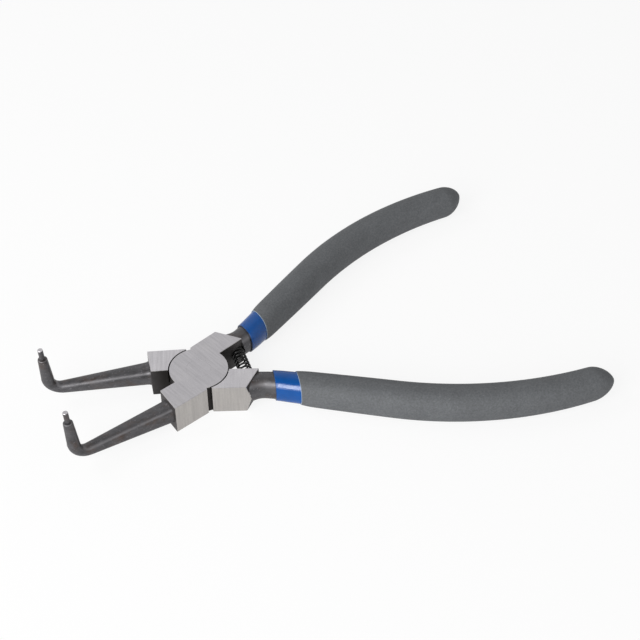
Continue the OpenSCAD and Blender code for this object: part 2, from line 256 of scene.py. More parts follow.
def sizes(group):
    """One of this tool's property groups on the scene."""
    return getattr(bpy.context.scene, "pliers_" + group)


# Plan geometry

def heading(a):
    """Unit vector in plan at an angle to the centre line."""
    return Vector((math.cos(a), math.sin(a)))


def left_of(a):
    """Unit vector square to a heading, on its left."""
    return Vector((-math.sin(a), math.cos(a)))


def meet(p, u, q, v):
    """Where the line through p along u meets the line through q along v."""
    return p + u * ((q - p).cross(v) / u.cross(v))


def leave_circle(p, u, radius):
    """Where the line through p along the unit vector u leaves the circle round the pivot."""
    along = p.dot(u)
    return p + u * (math.sqrt(along * along - p.length_squared + radius * radius) - along)


def arc(start, end, steps):
    """Points from start to end round the pivot, counter-clockwise, without those two."""
    a = math.atan2(start.y, start.x)
    sweep = (math.atan2(end.y, end.x) - a) % math.tau
    return [heading(a + sweep * i / steps) * start.length for i in range(1, steps)]


def spaced(start, end, steps):
    """Evenly spaced values from start to end."""
    return [start + (end - start) * i / steps for i in range(steps + 1)]


def section_point(half_w, half_t, power, k, sides):
    """Point k of a rounded section; a higher power makes it squarer."""
    c, s = math.cos(math.tau * k / sides), math.sin(math.tau * k / sides)
    return (half_w * math.copysign(abs(c) ** (2 / power), c),
            half_t * math.copysign(abs(s) ** (2 / power), s))


# Meshes

# Faces that meet at more than this angle share a sharp edge
SHARP_EDGE = math.radians(32)


def new_object(name, bm):
    """An object from a bmesh, smooth but for its real edges."""
    bmesh.ops.recalc_face_normals(bm, faces=bm.faces)
    mesh = bpy.data.meshes.new(name)
    bm.to_mesh(mesh)
    bm.free()
    obj = bpy.data.objects.new(name, mesh)
    bpy.context.scene.collection.objects.link(obj)
    smooth(obj)
    return obj


def smooth(obj):
    """Smooth shading, with sharp edges where faces meet at a real edge."""
    obj.data.polygons.foreach_set("use_smooth", [True] * len(obj.data.polygons))
    obj.data.set_sharp_from_angle(angle=SHARP_EDGE)


def loft(rings):
    """A closed skin through rings of equal length."""
    bm = bmesh.new()
    rows = [[bm.verts.new(p) for p in ring] for ring in rings]
    count = len(rings[0])
    for row, after in zip(rows, rows[1:]):
        for k in range(count):
            n = (k + 1) % count
            bm.faces.new((row[k], row[n], after[n], after[k]))
    bm.faces.new(rows[0])
    bm.faces.new(rows[-1])
    return bm


def lathe(profile, steps):
    """A solid of revolution about the pivot axis; the profile starts and ends close to the axis."""
    rings = [[Vector((r * math.cos(a), r * math.sin(a), z)) for a in spaced(0, math.tau, steps)[:-1]]
             for r, z in profile]
    return loft(rings)


def combine(target, other, operation):
    """Adds a second solid to the target or cuts it away; the second solid is used up."""
    modifier = target.modifiers.new(operation, "BOOLEAN")
    modifier.operation = operation
    modifier.solver = "EXACT"
    modifier.object = other
    depsgraph = bpy.context.evaluated_depsgraph_get()
    made = bpy.data.meshes.new_from_object(target.evaluated_get(depsgraph))
    target.modifiers.clear()
    old, target.data = target.data, made
    bpy.data.meshes.remove(old)
    bpy.data.objects.remove(other)
    if not made.polygons:
        raise RuntimeError(f"nothing is left of {target.name} after {operation}")


# Joint blocks

BOSS_STEPS = 72
# Edges of the blocks that turn by more than this angle are broken
BROKEN_EDGE = math.radians(40)


def jaw_points():
    """Corners of a jaw block with y positive: rear inner, rear outer, front outer, front inner."""
    j, joint = sizes("jaws"), sizes("joint")
    inward = heading(math.pi - j.block_angle)
    outer_at = -left_of(math.pi - j.block_angle) * (joint.boss_d / 2)
    rear, across = Vector((-joint.stop_slot_w / 2, 0)), Vector((0, 1))
    front_in = inward * j.block_l
    front_out = meet(front_in, heading(math.pi / 2 - j.arm_angle), outer_at, inward)
    return (meet(rear, across, Vector((0, 0)), inward), meet(rear, across, outer_at, inward),
            front_out, front_in)


def neck_points():
    """Corners of a handle block with y positive: front inner, front outer, rear outer, rear inner."""
    h, joint = sizes("handles"), sizes("joint")
    along, left = heading(h.block_angle), left_of(h.block_angle)
    inner, outer = left * h.block_in, left * (h.block_in + h.block_w)
    front, across = Vector((joint.stop_slot_w / 2, 0)), Vector((0, 1))
    rear_out = outer + along * (h.block_l - h.block_w * math.tan(h.block_rake))
    return (meet(front, across, inner, along), meet(front, across, outer, along),
            rear_out, inner + along * h.block_l)


def block_mesh():
    """Boss and blocks of the upper lever as one closed mesh, its boss in the joint's upper half."""
    joint, h = sizes("joint"), sizes("handles")
    boss_r = joint.boss_d / 2
    hollow_r = boss_r + joint.shoulder_gap
    step_z = MID_Z + joint.lap_gap / 2
    neck = neck_points()
    jaw = [p * Vector((1, -1)) for p in jaw_points()]

    def ends(p, q):
        u = (q - p).normalized()
        return leave_circle(p, u, boss_r), leave_circle(p, u, hollow_r)

    # Where the inner face and the slot face of each block leave the boss (p) and the hollow (q)
    p1, q1 = ends(neck[0], neck[3])
    p2, q2 = ends(Vector((neck[1].x, 0)), neck[1])
    p3, q3 = ends(jaw[0], jaw[3])
    p4, q4 = ends(Vector((jaw[1].x, 0)), jaw[1])
    boss_left, boss_right = arc(p2, p3, BOSS_STEPS), arc(p4, p1, BOSS_STEPS)
    hollow_neck, hollow_jaw = arc(q1, q2, BOSS_STEPS // 2), arc(q3, q4, BOSS_STEPS // 2)
    neck_run = [q1, neck[3], neck[2], neck[1], q2]
    jaw_run = [q3, jaw[3], jaw[2], jaw[1], q4]

    bm = bmesh.new()
    known = {}

    def vert(p, z):
        key = (round(p.x / MM, 5), round(p.y / MM, 5), round(z / MM, 5))
        if key not in known:
            known[key] = bm.verts.new((p.x, p.y, z))
        return known[key]

    def cap(points, z):
        bm.faces.new([vert(p, z) for p in points])

    def wall(points, low, high):
        for p, q in zip(points, points[1:]):
            bm.faces.new((vert(p, low), vert(q, low), vert(q, high), vert(p, high)))

    def block_wall(run, ridge=None):
        first, last = run[0], run[-1]
        bm.faces.new((vert(first, 0), vert(run[1], 0), vert(run[1], JOINT_T), vert(first, JOINT_T),
                      vert(first, step_z)))
        if ridge:
            rear_in, rear_out, front_out = run[1:-1]
            bm.faces.new((vert(rear_in, 0), vert(rear_out, 0), ridge))
            bm.faces.new((vert(rear_in, 0), ridge, vert(rear_in, JOINT_T)))
            bm.faces.new((ridge, vert(rear_out, JOINT_T), vert(rear_in, JOINT_T)))
            bm.faces.new((vert(rear_out, 0), vert(front_out, 0), vert(front_out, JOINT_T),
                          vert(rear_out, JOINT_T), ridge))
        else:
            wall(run[1:-1], 0, JOINT_T)
        bm.faces.new((vert(run[-2], 0), vert(last, 0), vert(last, step_z), vert(last, JOINT_T),
                      vert(run[-2], JOINT_T)))

    cap([p1] + neck_run + [p2] + boss_left + [p3] + jaw_run + [p4] + boss_right, JOINT_T)
    cap([p1, q1] + hollow_neck + [q2, p2] + boss_left + [p3, q3] + hollow_jaw + [q4, p4] + boss_right,
        step_z)
    cap(neck_run + hollow_neck[::-1], 0)
    cap(jaw_run + hollow_jaw[::-1], 0)
    block_wall(neck_run, vert(neck[2] + heading(h.block_angle) * h.block_ridge, MID_Z))
    block_wall(jaw_run)
    wall([q1] + hollow_neck + [q2], 0, step_z)
    wall([q3] + hollow_jaw + [q4], 0, step_z)
    wall([p1, q1], step_z, JOINT_T)
    wall([q2, p2] + boss_left + [p3, q3], step_z, JOINT_T)
    wall([q4, p4] + boss_right + [p1], step_z, JOINT_T)
    bmesh.ops.recalc_face_normals(bm, faces=bm.faces)
    edges = [e for e in bm.edges if e.calc_face_angle(0) > BROKEN_EDGE]
    bmesh.ops.bevel(bm, geom=edges, offset=joint.edge_break, segments=2, profile=0.5, affect="EDGES",
                    clamp_overlap=True)
    return bm


# Handles

class Handle:
    """Axis, sections and layers of one handle; side is 1 on the upper lever and -1 on the lower."""

    # Squareness of the sections and of the rounded end
    POWER = 2.4
    END_POWER = 1.75
    # Angle at which the rounded end is closed by a small flat
    END_ANGLE = math.radians(86)
    # Length over which the sections behind a grip's slanted edge turn square to the axis again
    FADE_L = 30 * MM
    # Step from the tang's flare to its even part
    FLARE_STEP = 0.5 * MM
    # How finely the sections and each length of a handle are divided
    SIDES = 56
    FLARE_RINGS, TANG_RINGS, SLEEVE_RINGS, GRIP_RINGS, END_RINGS, LIP_RINGS = 24, 90, 118, 110, 14, 6

    def __init__(self, side):
        h, l = sizes("handles"), sizes("layers")
        self.h, self.l, self.side = h, l, side
        self.z = max(h.front_t, h.mid_t, h.end_t) / 2
        self.bow_from = h.bend_l + h.run_l
        self.total = self.bow_from + h.bow_l + (l.upper_drip if side > 0 else 0)
        self.crest = h.tang_angle + h.bend_turn
        self.tang_at = (heading(h.block_angle) * h.tang_from
                        + left_of(h.block_angle) * (h.block_in + h.block_w / 2 - h.tang_inset))
        self.run_at = (self.tang_at
                       + (left_of(h.tang_angle) - left_of(self.crest)) * (h.bend_l / h.bend_turn))
        self.bow_at = self.run_at + heading(self.crest) * h.run_l
        self.sleeve_in = l.grip_wall + l.layer_gap
        self.tang_in = self.sleeve_in + l.sleeve_wall + l.layer_gap
        self.tang_end = self.total - 2 * (l.end_wall + l.layer_gap)
        early = l.upper_early if side > 0 else 0
        self.sleeve_from, self.grip_from = l.sleeve_from - early, l.grip_from - early

    def angle(self, s):
        """Direction of the axis at a distance from where the tang starts."""
        h = self.h
        if s < h.bend_l:
            return h.tang_angle + h.bend_turn * s / h.bend_l
        if s < self.bow_from:
            return self.crest
        return self.crest - h.bow_turn * (s - self.bow_from) / h.bow_l

    def at(self, s):
        """Point of the axis at that distance."""
        h = self.h
        left = left_of(self.angle(s))
        if s < h.bend_l:
            return self.tang_at + (left_of(h.tang_angle) - left) * (h.bend_l / h.bend_turn)
        if s < self.bow_from:
            return self.run_at + heading(self.crest) * (s - h.bend_l)
        return self.bow_at + (left - left_of(self.crest)) * (h.bow_l / h.bow_turn)

    def swell(self, front, mid, end, s):
        """A size that swells from the front to the middle and falls to the end."""
        t = 2 * s / self.total - 1
        return mid - (mid - (front if t < 0 else end)) * t * t

    def half(self, s, inset=0):
        """Half the width and half the thickness of the layer that lies inside by the inset."""
        h = self.h
        return (self.swell(h.front_w, h.mid_w, h.end_w, s) / 2 - inset,
                self.swell(h.front_t, h.mid_t, h.end_t, s) / 2 - inset)

    def slant(self, s):
        """Slope of a section; it follows the slanted edges of the layers and fades behind them."""
        sleeve, grip = math.tan(self.l.sleeve_slant), math.tan(self.l.grip_slant)
        if s < self.sleeve_from:
            return sleeve * s / self.sleeve_from
        if s < self.grip_from:
            return sleeve + (grip - sleeve) * (s - self.sleeve_from) / (self.grip_from - self.sleeve_from)
        return grip * max(0, 1 - (s - self.grip_from) / self.FADE_L)

    def ring(self, s, half, out=0):
        """Points of one section, moved outwards if asked."""
        a, c = self.angle(s), self.at(s)
        across = left_of(a) + heading(a) * self.slant(s)
        points = []
        for k in range(self.SIDES):
            w, t = section_point(half[0], half[1], self.POWER, k, self.SIDES)
            q = c + across * (w + out)
            points.append(Vector((q.x, q.y * self.side, self.z + t)))
        return points

    def skin(self, start, end, inset, count, feather=0):
        """Rings of one layer's surface from its edge, thinner there by the feather, to its closed end."""
        dome_at = end - self.h.end_round
        rings = []
        for s in spaced(start, dome_at, count):
            thin = feather * max(0, 1 - (s - start) / self.l.feather_l) ** 2
            rings.append(self.ring(s, self.half(s, inset + thin)))
        w, t = self.half(dome_at, inset)
        for a in spaced(0, self.END_ANGLE, self.END_RINGS)[1:]:
            shrink = math.cos(a) ** (2 / self.END_POWER)
            s = dome_at + self.h.end_round * math.sin(a) ** (2 / self.END_POWER)
            rings.append(self.ring(s, (w * shrink, t * shrink), self.l.end_shift * (1 - shrink)))
        return rings

    def cup(self, start, end, inset, wall, feather, count):
        """Closed cup of one dipped layer; its rounded front lip has the second material."""
        r = self.l.lip_round
        inner = self.skin(start + r, end - self.l.end_wall, inset + wall, count)
        lip = []
        for a in spaced(math.pi / 2, 0, self.LIP_RINGS):
            half = self.half(start, inset + feather + r * (1 - math.cos(a)))
            lip.append(self.ring(start + r * (1 - math.sin(a)), half))
        outer = self.skin(start + r, end, inset, count, feather)
        bm = loft(inner[::-1] + lip[:-1] + outer)
        bm.faces.ensure_lookup_table()
        first = (len(inner) - 1) * self.SIDES
        for face in bm.faces[first:first + len(lip) * self.SIDES]:
            face.material_index = 1
        return bm

    def sleeve(self):
        """Inner layer, over the tang."""
        l = self.l
        end = self.total - l.end_wall - l.layer_gap
        return self.cup(self.sleeve_from, end, self.sleeve_in, l.sleeve_wall, 0, self.SLEEVE_RINGS)

    def grip(self):
        """Outer layer, over the sleeve, feathered at its front."""
        l = self.l
        return self.cup(self.grip_from, self.total, 0, l.grip_wall, l.feather, self.GRIP_RINGS)

    def tang(self):
        """Tang, flared on its outer side where it grows out of its block."""
        h = self.h
        rings = []
        for s in spaced(0, h.flare_l, self.FLARE_RINGS):
            f = (1 - s / h.flare_l) ** 2
            w, t = self.half(s, self.tang_in)
            out = h.flare_w * f / 2
            rings.append(self.ring(s, (w + out, t + h.flare_t * f), out))
        even_from = h.flare_l + self.FLARE_STEP
        return loft(rings + self.skin(even_from, self.tang_end, self.tang_in, self.TANG_RINGS))


# Arms

# Squareness of an arm at its root and past its bend
ROOT_POWER, ROUND_POWER = 3.4, 2.0
# Swelling of the arm at its block, how far along it fades out and how deep the arm is sunk there
ROOT_FILLET, ROOT_FILLET_L, ARM_SINK = 0.5 * MM, 1.4 * MM, 2 * MM
# Distance of the nearest rings from the block's face and from the slanted ends of the bend
PAST_BLOCK, PAST_BEND = 0.15 * MM, 0.3 * MM
# How finely the sections and each length of an arm are divided
ARM_SIDES = 48
ARM_RINGS, BEND_RINGS, TIP_RINGS, SHOULDER_RINGS = 40, 20, 12, 5


def arm_mesh(side):
    """Arm, bend, tapered tip and pin as one skin."""
    j = sizes("jaws")
    corners = jaw_points()
    root = (corners[2] + corners[3]) / 2
    out = heading(math.pi - j.arm_angle)
    lean_c, lean_s = math.cos(j.tip_lean), math.sin(j.tip_lean)
    bend_from = j.arm_l - j.bend_r * math.tan(j.bend_angle / 2)
    eased = j.bend_ease * math.tan(j.bend_angle / 2)
    tip = Vector((bend_from + j.bend_r * math.sin(j.bend_angle),
                  j.bend_r * (1 - math.cos(j.bend_angle))))
    up = heading(j.bend_angle)
    tip_l = (j.tip_h - tip.y) / up.y
    taper_l = tip_l - j.shoulder_round

    def place(x, y, z):
        """A point along, across and above the arm's axis, leant over and set on the jaw block."""
        y, z = y * lean_c + z * lean_s, z * lean_c - y * lean_s
        plan = root + out * x + Vector((-out.y, out.x)) * y
        return Vector((plan.x, -side * plan.y, MID_Z + z))

    def ring(p, tilt, w, power=ROUND_POWER):
        n = left_of(tilt)
        points = []
        for k in range(ARM_SIDES):
            y, t = section_point(w / 2, w / 2, power, k, ARM_SIDES)
            points.append(place(p.x + n.x * t, y, p.y + n.y * t))
        return points

    rings = [ring(Vector((-ARM_SINK, 0)), 0, j.root_w + ROOT_FILLET, ROOT_POWER)]
    for u in spaced(PAST_BLOCK, bend_from - eased - PAST_BEND, ARM_RINGS):
        w = j.root_w + (j.end_w - j.root_w) * u / bend_from
        w += ROOT_FILLET * max(0, 1 - u / ROOT_FILLET_L) ** 2
        power = ROOT_POWER + (ROUND_POWER - ROOT_POWER) * u / bend_from
        rings.append(ring(Vector((u, 0)), 0, w, power))
    for a in spaced(0, j.bend_angle, BEND_RINGS):
        down = -left_of(a)
        inner = Vector((bend_from, j.bend_r)) + down * (j.bend_r - j.end_w / 2)
        outer = (Vector((bend_from - eased, j.bend_r + j.bend_ease))
                 + down * (j.bend_r + j.bend_ease + j.end_w / 2))
        across = inner - outer
        tilt = math.atan2(across.y, across.x) - math.pi / 2
        rings.append(ring((inner + outer) / 2, tilt, across.length))
    ends = [(t, j.end_w + (j.shoulder_d - j.end_w) * t / taper_l)
            for t in spaced(eased + PAST_BEND, taper_l, TIP_RINGS)]
    ends += [(taper_l + j.shoulder_round * math.sin(a),
              j.shoulder_d - 2 * j.shoulder_round * (1 - math.cos(a)))
             for a in spaced(0, math.pi / 2, SHOULDER_RINGS)[1:]]
    pin_end = tip_l + j.pin_l
    ends += [(tip_l, j.pin_d), (pin_end - j.pin_lead, j.pin_d), (pin_end, j.pin_d - 2 * j.pin_lead)]
    rings += [ring(tip + up * t, j.bend_angle, w) for t, w in ends]
    return loft(rings)


# Levers

GROUND, OXIDE, SHADED_SCALE = 0, 1, 2
# How far the rivet's hole is cut past the joint's faces, and the small flat at its axis
HOLE_PAST, AXIS_R = 1 * MM, 0.05 * MM
LATHE_STEPS = 96
SOCKET_SIDES = 64
# Room between the spring's end and the bottom of its socket
SOCKET_SEAT = 0.1 * MM
# Blocks that trim a tang: their width, and how far the tang stays inside its block's side faces
TRIM_W, TRIM_HAIR = 20 * MM, 0.004 * MM
# Ground faces: distance from their plane in edge breaks, lean of their normal, reach of the joint
GROUND_NEAR, GROUND_LEAN, JOINT_REACH = 1.15, 0.3, 30 * MM
# Length of a pin's bright end
PIN_FACE = 0.25 * MM


def rivet_profile(line):
    """Profile of the countersunk rivet or, with a hairline, of the hole cut for it."""
    joint = sizes("joint")
    shank = joint.rivet_d / 2 + line
    head = HEAD_R + line
    past = HOLE_PAST if line else 0
    rows = [(AXIS_R, -past), (head, -past)]
    rows += [(head, 0)] if past else []
    rows += [(shank, joint.rivet_head_t), (shank, JOINT_T - joint.rivet_head_t), (head, JOINT_T)]
    rows += [(head, JOINT_T + past)] if past else []
    return rows + [(AXIS_R, JOINT_T + past)]


def box_mesh(lengths, matrix):
    """A box from its corner at the origin, placed by a matrix."""
    bm = bmesh.new()
    bmesh.ops.create_cube(bm, size=1)
    for v in bm.verts:
        v.co = matrix @ Vector((c + 0.5) * n for c, n in zip(v.co, lengths))
    return bm


def side_planes(side):
    """Ground planes of a lever: a point and an outward normal for each."""
    h, jaws, boss_r = sizes("handles"), sizes("jaws"), sizes("joint").boss_d / 2
    neck_out = left_of(h.block_angle)
    jaw_out = -left_of(math.pi - jaws.block_angle)
    neck_normal = Vector((neck_out.x, neck_out.y * side, 0))
    jaw_normal = Vector((jaw_out.x, -jaw_out.y * side, 0))
    return [(Vector((0, 0, JOINT_T)), Vector((0, 0, 1))),
            (Vector((0, 0, 0)), Vector((0, 0, -1))),
            (neck_normal * (h.block_in + h.block_w), neck_normal),
            (jaw_normal * boss_r, jaw_normal)]


def finish_all(obj, finish, body):
    """Gives a solid one of its lever's finishes before it is joined; returns the solid."""
    for material in (ground_steel(body), black_oxide(), black_scale()):
        obj.data.materials.append(material)
    obj.data.polygons.foreach_set("material_index", [finish] * len(obj.data.polygons))
    return obj


def paint_lever(obj, side):
    """Ground finish on the joint's outer faces with their broken edges, and on the pin's end."""
    planes = side_planes(side)
    pin_end = max(v.co.z for v in obj.data.vertices) - PIN_FACE
    near = GROUND_NEAR * sizes("joint").edge_break

    def on_plane(face, point, normal):
        return abs((face.center - point).dot(normal)) < near and face.normal.dot(normal) > GROUND_LEAN

    for face in obj.data.polygons:
        at_joint = abs(face.center.x) < JOINT_REACH
        if face.center.z > pin_end or at_joint and any(on_plane(face, *plane) for plane in planes):
            face.material_index = GROUND


def trimmed_tang(side, body):
    """Tang of a lever, cut back to the side faces of its handle block."""
    h = sizes("handles")
    tang = finish_all(new_object("tang", Handle(side).tang()), OXIDE, body)
    turned = Matrix.Diagonal((1, side, 1, 1)) @ Matrix.Rotation(h.block_angle, 4, "Z")
    outside = (h.block_in + h.block_w - TRIM_HAIR, h.block_l + h.flare_l)
    inside = (h.block_in + TRIM_HAIR - TRIM_W, h.block_l)
    for start, run in (outside, inside):
        corner = turned @ Matrix.Translation((0, start, -JOINT_T))
        trim = new_object("trim", box_mesh((run, TRIM_W, 3 * JOINT_T), corner))
        combine(tang, finish_all(trim, OXIDE, body), "DIFFERENCE")
    return tang


def spring_socket(side):
    """Round socket for one end of the spring, open towards the centre line."""
    spring = sizes("spring")
    low, high = SPRING_BOX
    radius = spring.coil_d / 2 + spring.socket_clear
    x = (low.x + high.x) / 2 - (spring.lean if side < 0 else 0)
    depth = high.y + SOCKET_SEAT
    bm = bmesh.new()
    bmesh.ops.create_cone(bm, cap_ends=True, segments=SOCKET_SIDES, radius1=radius, radius2=radius,
                          depth=depth)
    across = Matrix.Rotation(math.pi / 2, 4, "X")
    bm.transform(Matrix.Translation((x, side * depth / 2, MID_Z)) @ across)
    return bm


def make_lever(name, side, body):
    """One lever: block, tang and arm joined, with its rivet hole and spring socket."""
    bm = block_mesh()
    if side < 0:
        bm.transform(Matrix.Translation((0, 0, JOINT_T)) @ Matrix.Diagonal((1, -1, -1, 1)))
    lever = finish_all(new_object(name, bm), SHADED_SCALE, body)
    hole = new_object("hole", lathe(rivet_profile(sizes("joint").rivet_line), LATHE_STEPS))
    combine(lever, finish_all(hole, SHADED_SCALE, body), "DIFFERENCE")
    combine(lever, trimmed_tang(side, body), "UNION")
    combine(lever, finish_all(new_object("arm", arm_mesh(side)), OXIDE, body), "UNION")
    combine(lever, finish_all(new_object("socket", spring_socket(side)), SHADED_SCALE, body), "DIFFERENCE")
    paint_lever(lever, side)
    smooth(lever)
    flat = lever.modifiers.new("flat faces", "WEIGHTED_NORMAL")
    flat.keep_sharp = True
    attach(lever, body)
    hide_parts(name.replace("dressed_", ""))


# Spring

TURN_STEPS, WIRE_SIDES = 36, 12


def spring_mesh():
    """Wire of the spring: a closed turn at each end, open turns between them."""
    s = sizes("spring")
    low, high = SPRING_BOX
    centre = (low + high) / 2
    coil_r = (s.coil_d - s.wire_d) / 2
    span = high.y - low.y - s.wire_d
    close = s.wire_d + s.close_gap
    pitch = (span - 2 * close) / s.turns

    def rise(t):
        if t < 1:
            return close * t
        return close + pitch * min(t - 1, s.turns) + close * max(0, t - 1 - s.turns)

    rings = []
    for i in range(TURN_STEPS * (s.turns + 2) + 1):
        t = i / TURN_STEPS
        a = math.tau * t
        y = -span / 2 + rise(t)
        axis_x = centre.x - s.lean * (0.5 - y / span)
        middle = Vector((axis_x + coil_r * math.cos(a), centre.y + y, centre.z + coil_r * math.sin(a)))
        out = Vector((math.cos(a), 0, math.sin(a)))
        rings.append([middle + (out * math.cos(w) + Vector((0, math.sin(w), 0))) * (s.wire_d / 2)
                      for w in spaced(0, math.tau, WIRE_SIDES)[:-1]])
    return loft(rings)


# Materials

def as_material(make):
    """Turns a function that links a shader into one that returns its material, made once."""
    made = {}

    def get(*body):
        name = "_".join((make.__name__, *body))
        if name not in made:
            made[name] = bpy.data.materials.new(name)
            made[name].use_nodes = True
            tree = made[name].node_tree
            make(tree, tree.nodes["Principled BSDF"], sizes("finish"), *body)
        return made[name]

    get.__doc__ = make.__doc__
    return get


def add(tree, kind, **values):
    """A node with its properties or input values set."""
    node = tree.nodes.new(kind)
    for key, value in values.items():
        if hasattr(node, key):
            setattr(node, key, value)
        else:
            node.inputs[key.replace("_", " ").title()].default_value = value
    return node


def feed(tree, value, socket):
    """Links an output to a socket, or sets a plain number or colour on it."""
    if hasattr(value, "is_output"):
        tree.links.new(value, socket)
    elif hasattr(value, "__len__"):
        socket.default_value = (*value, 1)
    else:
        socket.default_value = value


def through(tree, value, kind, **values):
    """Passes an output through a new node, from its first input to its first output."""
    node = add(tree, kind, **values)
    tree.links.new(value, node.inputs[0])
    return node.outputs[0]


def noise(tree, scale, detail=3.0, stretch=(1, 1, 1), rough=0.55, spin=0.0):
    """Noise in the object's own space, turned about Z and stretched; scale is in grains a metre."""
    where = add(tree, "ShaderNodeTexCoord").outputs["Object"]
    spun = through(tree, where, "ShaderNodeVectorRotate", rotation_type="Z_AXIS", Angle=spin)
    stretched = through(tree, spun, "ShaderNodeMapping", Scale=stretch)
    return through(tree, stretched, "ShaderNodeTexNoise", Scale=scale, Detail=detail, Roughness=rough)


def spread(tree, value, low, high, start=0.3, end=0.7):
    """Maps a value that runs from start to end, as most noise does, to the range from low to high."""
    return through(tree, value, "ShaderNodeMapRange", From_Min=start, From_Max=end, To_Min=low,
                   To_Max=high)


def mix(tree, factor, a, b, mode="MIX"):
    """Mixes two colours, each a socket or a plain colour."""
    node = add(tree, "ShaderNodeMix", data_type="RGBA", blend_type=mode)
    for key, value in ((0, factor), (6, a), (7, b)):
        feed(tree, value, node.inputs[key])
    return node.outputs[2]


def vary(tree, value, a, b):
    """A colour that varies with a noise from one colour to another."""
    return mix(tree, spread(tree, value, 0, 1), a, b)


def darkened(tree, base, value, shade, start=0.3, end=0.7):
    """A colour multiplied by a shade where a noise is low and left as it is where that is high."""
    cover = mix(tree, spread(tree, value, 0, 1, start, end), shade, (1, 1, 1))
    return mix(tree, 1.0, base, cover, "MULTIPLY")


def times(tree, a, b):
    """Product of an output and another output or a plain number."""
    node = add(tree, "ShaderNodeMath", operation="MULTIPLY")
    feed(tree, a, node.inputs[0])
    feed(tree, b, node.inputs[1])
    return node.outputs[0]


def z_of(tree, vectors):
    """Z of a vector output."""
    split = add(tree, "ShaderNodeSeparateXYZ")
    tree.links.new(vectors, split.inputs["Vector"])
    return split.outputs["Z"]


def facing_up(tree):
    """1 on faces that look straight up, 0 on upright ones."""
    return z_of(tree, add(tree, "ShaderNodeNewGeometry").outputs["Normal"])


def surface(tree, shader, base, rough, metallic=0.0):
    """Colour, roughness and metal of a shader."""
    feed(tree, base, shader.inputs["Base Color"])
    feed(tree, rough, shader.inputs["Roughness"])
    shader.inputs["Metallic"].default_value = metallic


def bump(tree, shader, relief, depth, strength):
    """Relief of a depth in metres."""
    node = add(tree, "ShaderNodeBump", Strength=strength, Distance=depth)
    tree.links.new(relief, node.inputs["Height"])
    tree.links.new(node.outputs["Normal"], shader.inputs["Normal"])


def scaled(rgb, factor):
    """A lighter or darker colour."""
    return tuple(min(1.0, c * factor) for c in rgb)


@as_material
def ground_steel(tree, shader, f, body):
    """Satin ground steel of one body, with fine grinding lines across its lever."""
    # Painted highlight: on the lower lever the top colour is a lighter copy of the same steel
    painted_top_colour = scaled(f.ground_top, f.lower_shine if body == LOWER else 1)
    spin = f.grind_turn if body == LOWER else -f.grind_turn
    lines = noise(tree, 100, 4, stretch=(60, 1.6, 1.6), rough=0.7, spin=spin)
    streaks = noise(tree, 100, 3, stretch=(15, 0.7, 0.7), rough=0.65, spin=spin)
    grit = noise(tree, 2600)
    clouds = noise(tree, 130)
    # Painted light: faces that look up get the top colour, upright faces the side colour
    base = mix(tree, spread(tree, facing_up(tree), 0, 1, 0.2, 0.8), f.ground_side, painted_top_colour)
    base = darkened(tree, base, lines, (0.86, 0.86, 0.86))
    base = darkened(tree, base, streaks, (0.84, 0.84, 0.84))
    base = darkened(tree, base, grit, (0.88, 0.88, 0.88))
    base = darkened(tree, base, clouds, (0.93, 0.93, 0.94))
    rough = spread(tree, lines, f.ground_rough - 0.06, f.ground_rough + 0.06)
    surface(tree, shader, base, rough, metallic=0.9)
    bump(tree, shader, lines, depth=0.012 * MM, strength=0.5)


@as_material
def black_oxide(tree, shader, f):
    """Blackened forged steel: dark, satin and mottled, with brown patches and rubbed upper ridges."""
    mottle = noise(tree, 520, 5, stretch=(0.45, 1, 1), rough=0.7)
    patches = noise(tree, 160, 2)
    tints = noise(tree, 210)
    specks = noise(tree, 1500, 2)
    highlight_breakup = noise(tree, 330)
    base = vary(tree, patches, f.oxide, scaled(f.oxide, 0.75))
    base = mix(tree, spread(tree, tints, 0, 0.8, 0.5, 0.7), base, f.temper)
    base = vary(tree, mottle, base, scaled(f.oxide, 1.7))
    base = mix(tree, spread(tree, specks, 0, 0.7, 0.62, 0.72), base, scaled(f.oxide, 3.2))
    # Painted highlight where the surface leans about halfway between facing up and standing upright,
    # broken up by a noise
    up = facing_up(tree)
    highlight_band = times(tree, spread(tree, up, 0, 1, 0.45, 0.70), spread(tree, up, 1, 0, 0.70, 0.93))
    painted_highlight = times(tree, highlight_band, spread(tree, highlight_breakup, 0.35, 0.85))
    base = mix(tree, painted_highlight, base, f.ridge)
    rough = spread(tree, mottle, f.oxide_rough - 0.06, f.oxide_rough + 0.10)
    surface(tree, shader, base, rough, metallic=0.75)
    bump(tree, shader, noise(tree, 3600), depth=0.02 * MM, strength=0.4)


@as_material
def black_scale(tree, shader, f):
    """Dull black scale on the faces of the blocks that aren't ground, oily round the joint."""
    patches = noise(tree, 700, 4)
    base = vary(tree, patches, f.scale, scaled(f.scale, 1.8))
    where = add(tree, "ShaderNodeTexCoord")
    flat = add(tree, "ShaderNodeVectorMath", operation="MULTIPLY")
    flat.inputs[1].default_value = (1, 1, 0)
    from_pivot = add(tree, "ShaderNodeVectorMath", operation="LENGTH")
    tree.links.new(where.outputs["Object"], flat.inputs[0])
    tree.links.new(flat.outputs["Vector"], from_pivot.inputs[0])
    # Painted shade: black within 12 mm of the pivot, fading out by 17 mm
    painted_shade = spread(tree, from_pivot.outputs["Value"], 1, 0, start=12 * MM, end=17 * MM)
    base = mix(tree, painted_shade, base, f.oil)
    surface(tree, shader, base, spread(tree, patches, 0.5, 0.66), metallic=0.5)
    bump(tree, shader, patches, depth=0.03 * MM, strength=0.4)


@as_material
def spring_wire(tree, shader, f):
    """Black drawn wire with an oily sheen."""
    drawn = noise(tree, 900)
    base = vary(tree, drawn, f.wire, scaled(f.wire, 1.8))
    surface(tree, shader, base, spread(tree, drawn, 0.20, 0.30), metallic=0.4)


